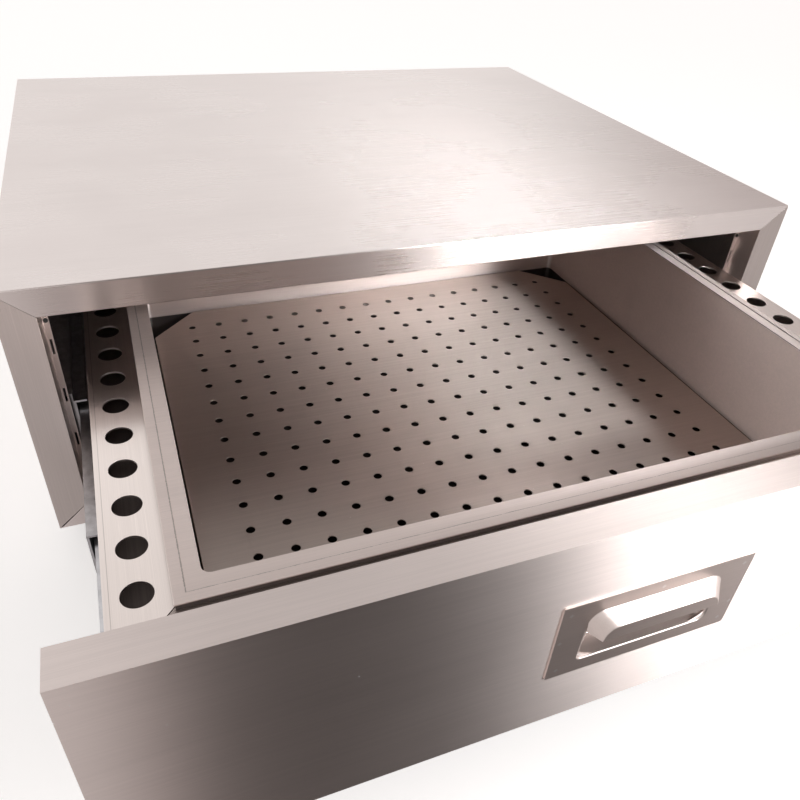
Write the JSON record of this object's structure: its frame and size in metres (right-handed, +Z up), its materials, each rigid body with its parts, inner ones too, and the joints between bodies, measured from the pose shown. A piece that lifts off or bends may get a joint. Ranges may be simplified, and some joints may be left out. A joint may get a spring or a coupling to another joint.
{
  "type": "uv sterilizer drawer cabinet",
  "caption": "Stainless steel cabinet with a full-width drawer that slides out with a lift-out pan and perforated tray, under an ultraviolet lamp.",
  "frame": {"origin": "middle of the footprint of the cabinet with its drawer part open, on the plane it stands on", "axes": "+X to the right seen from the front, +Y from the drawer front to the rear, +Z up"},
  "size_m": [0.645, 0.8279, 0.231],
  "materials": {
    "cabinet_steel": "brushed along the panel",
    "drawer_steel": "brushed along the panel",
    "pan_steel": "fine brushed",
    "handle_steel": "smooth satin, pressed",
    "zinc_steel": "zinc plated",
    "fastener_steel": "bright zinc plated",
    "black_rubber": "matt",
    "black_plastic": "fine texture",
    "white_plastic": "satin",
    "white_enamel": "white enamel",
    "lamp_glass": "clear tube glass",
    "contact_brass": "bright",
    "wire_jacket": "PVC sleeve"
  },
  "bodies": {
    "cabinet": {"top_panel": "cabinet_steel", "left_side_panel": "cabinet_steel", "right_side_panel": "cabinet_steel", "bottom_panel": "cabinet_steel", "rear_panel": "cabinet_steel", "rear_panel_screws": "fastener_steel", "feet": "black_rubber", "foot_screws": "fastener_steel", "drawer_bumpers": "black_rubber", "left_slide_bracket": "zinc_steel", "right_slide_bracket": "zinc_steel", "left_outer_slide": "zinc_steel", "right_outer_slide": "zinc_steel", "outer_slide_screws": "fastener_steel", "lamp_reflector": "white_enamel", "lamp_holders": "white_plastic", "uv_lamp_tube": "lamp_glass", "lamp_end_caps": "fastener_steel", "lamp_pins": "contact_brass", "lamp_guard": "zinc_steel", "ballast": "white_enamel", "starter": "white_plastic", "starter_holder": "white_plastic", "terminal_block": "white_plastic", "lamp_wiring": "wire_jacket", "interlock_sensor": "black_plastic", "power_inlet": "black_plastic", "inlet_pins": "contact_brass", "switch_bezel": "black_plastic"},
    "middle_slides": {"left_middle_slide": "zinc_steel", "right_middle_slide": "zinc_steel"},
    "outer_cages": {"outer_ball_cages": "zinc_steel", "outer_slide_balls": "fastener_steel"},
    "inner_cages": {"inner_ball_cages": "zinc_steel", "inner_slide_balls": "fastener_steel"},
    "drawer": {"left_inner_slide": "zinc_steel", "right_inner_slide": "zinc_steel", "inner_slide_screws": "fastener_steel", "drawer_left_rail": "drawer_steel", "drawer_right_rail": "drawer_steel", "drawer_front_rail": "drawer_steel", "drawer_back_rail": "drawer_steel", "drawer_front_skin": "drawer_steel", "drawer_front_liner": "drawer_steel", "front_screws": "fastener_steel", "handle": "handle_steel", "handle_studs": "fastener_steel", "handle_nuts": "fastener_steel", "interlock_magnet": "fastener_steel"},
    "pan": {"pan": "pan_steel"},
    "tray": {"perforated_tray": "pan_steel"},
    "switch": {"switch_rocker": "black_plastic"}
  },
  "joints": [
    {"name": "drawer_slide", "type": "slide", "parent": "cabinet", "child": "drawer", "axis": [0, -1, 0], "range_m": [-0.274, 0.206]},
    {"name": "middle_slide_travel", "type": "slide", "parent": "cabinet", "child": "middle_slides", "axis": [0, -1, 0], "range_m": [-0.137, 0.103]},
    {"name": "outer_cage_travel", "type": "slide", "parent": "cabinet", "child": "outer_cages", "axis": [0, -1, 0], "range_m": [-0.0685, 0.0515]},
    {"name": "inner_cage_travel", "type": "slide", "parent": "cabinet", "child": "inner_cages", "axis": [0, -1, 0], "range_m": [-0.2055, 0.1545]},
    {"name": "pan_lift", "type": "slide", "parent": "drawer", "child": "pan", "axis": [0, 0, 1], "range_m": [0, 0.012]},
    {"name": "tray_lift", "type": "slide", "parent": "pan", "child": "tray", "axis": [0, 0, 1], "range_m": [0, 0.09]},
    {"name": "switch_rock", "type": "hinge", "parent": "cabinet", "child": "switch", "pos_m": [0.14, 0.402, 0.194], "axis": [1, 0, 0], "range_deg": [-16, 0]}
  ],
  "couplings": [
    {"joint": "middle_slide_travel", "follows": "drawer_slide", "ratio": 0.5},
    {"joint": "outer_cage_travel", "follows": "drawer_slide", "ratio": 0.25},
    {"joint": "inner_cage_travel", "follows": "drawer_slide", "ratio": 0.75}
  ]
}
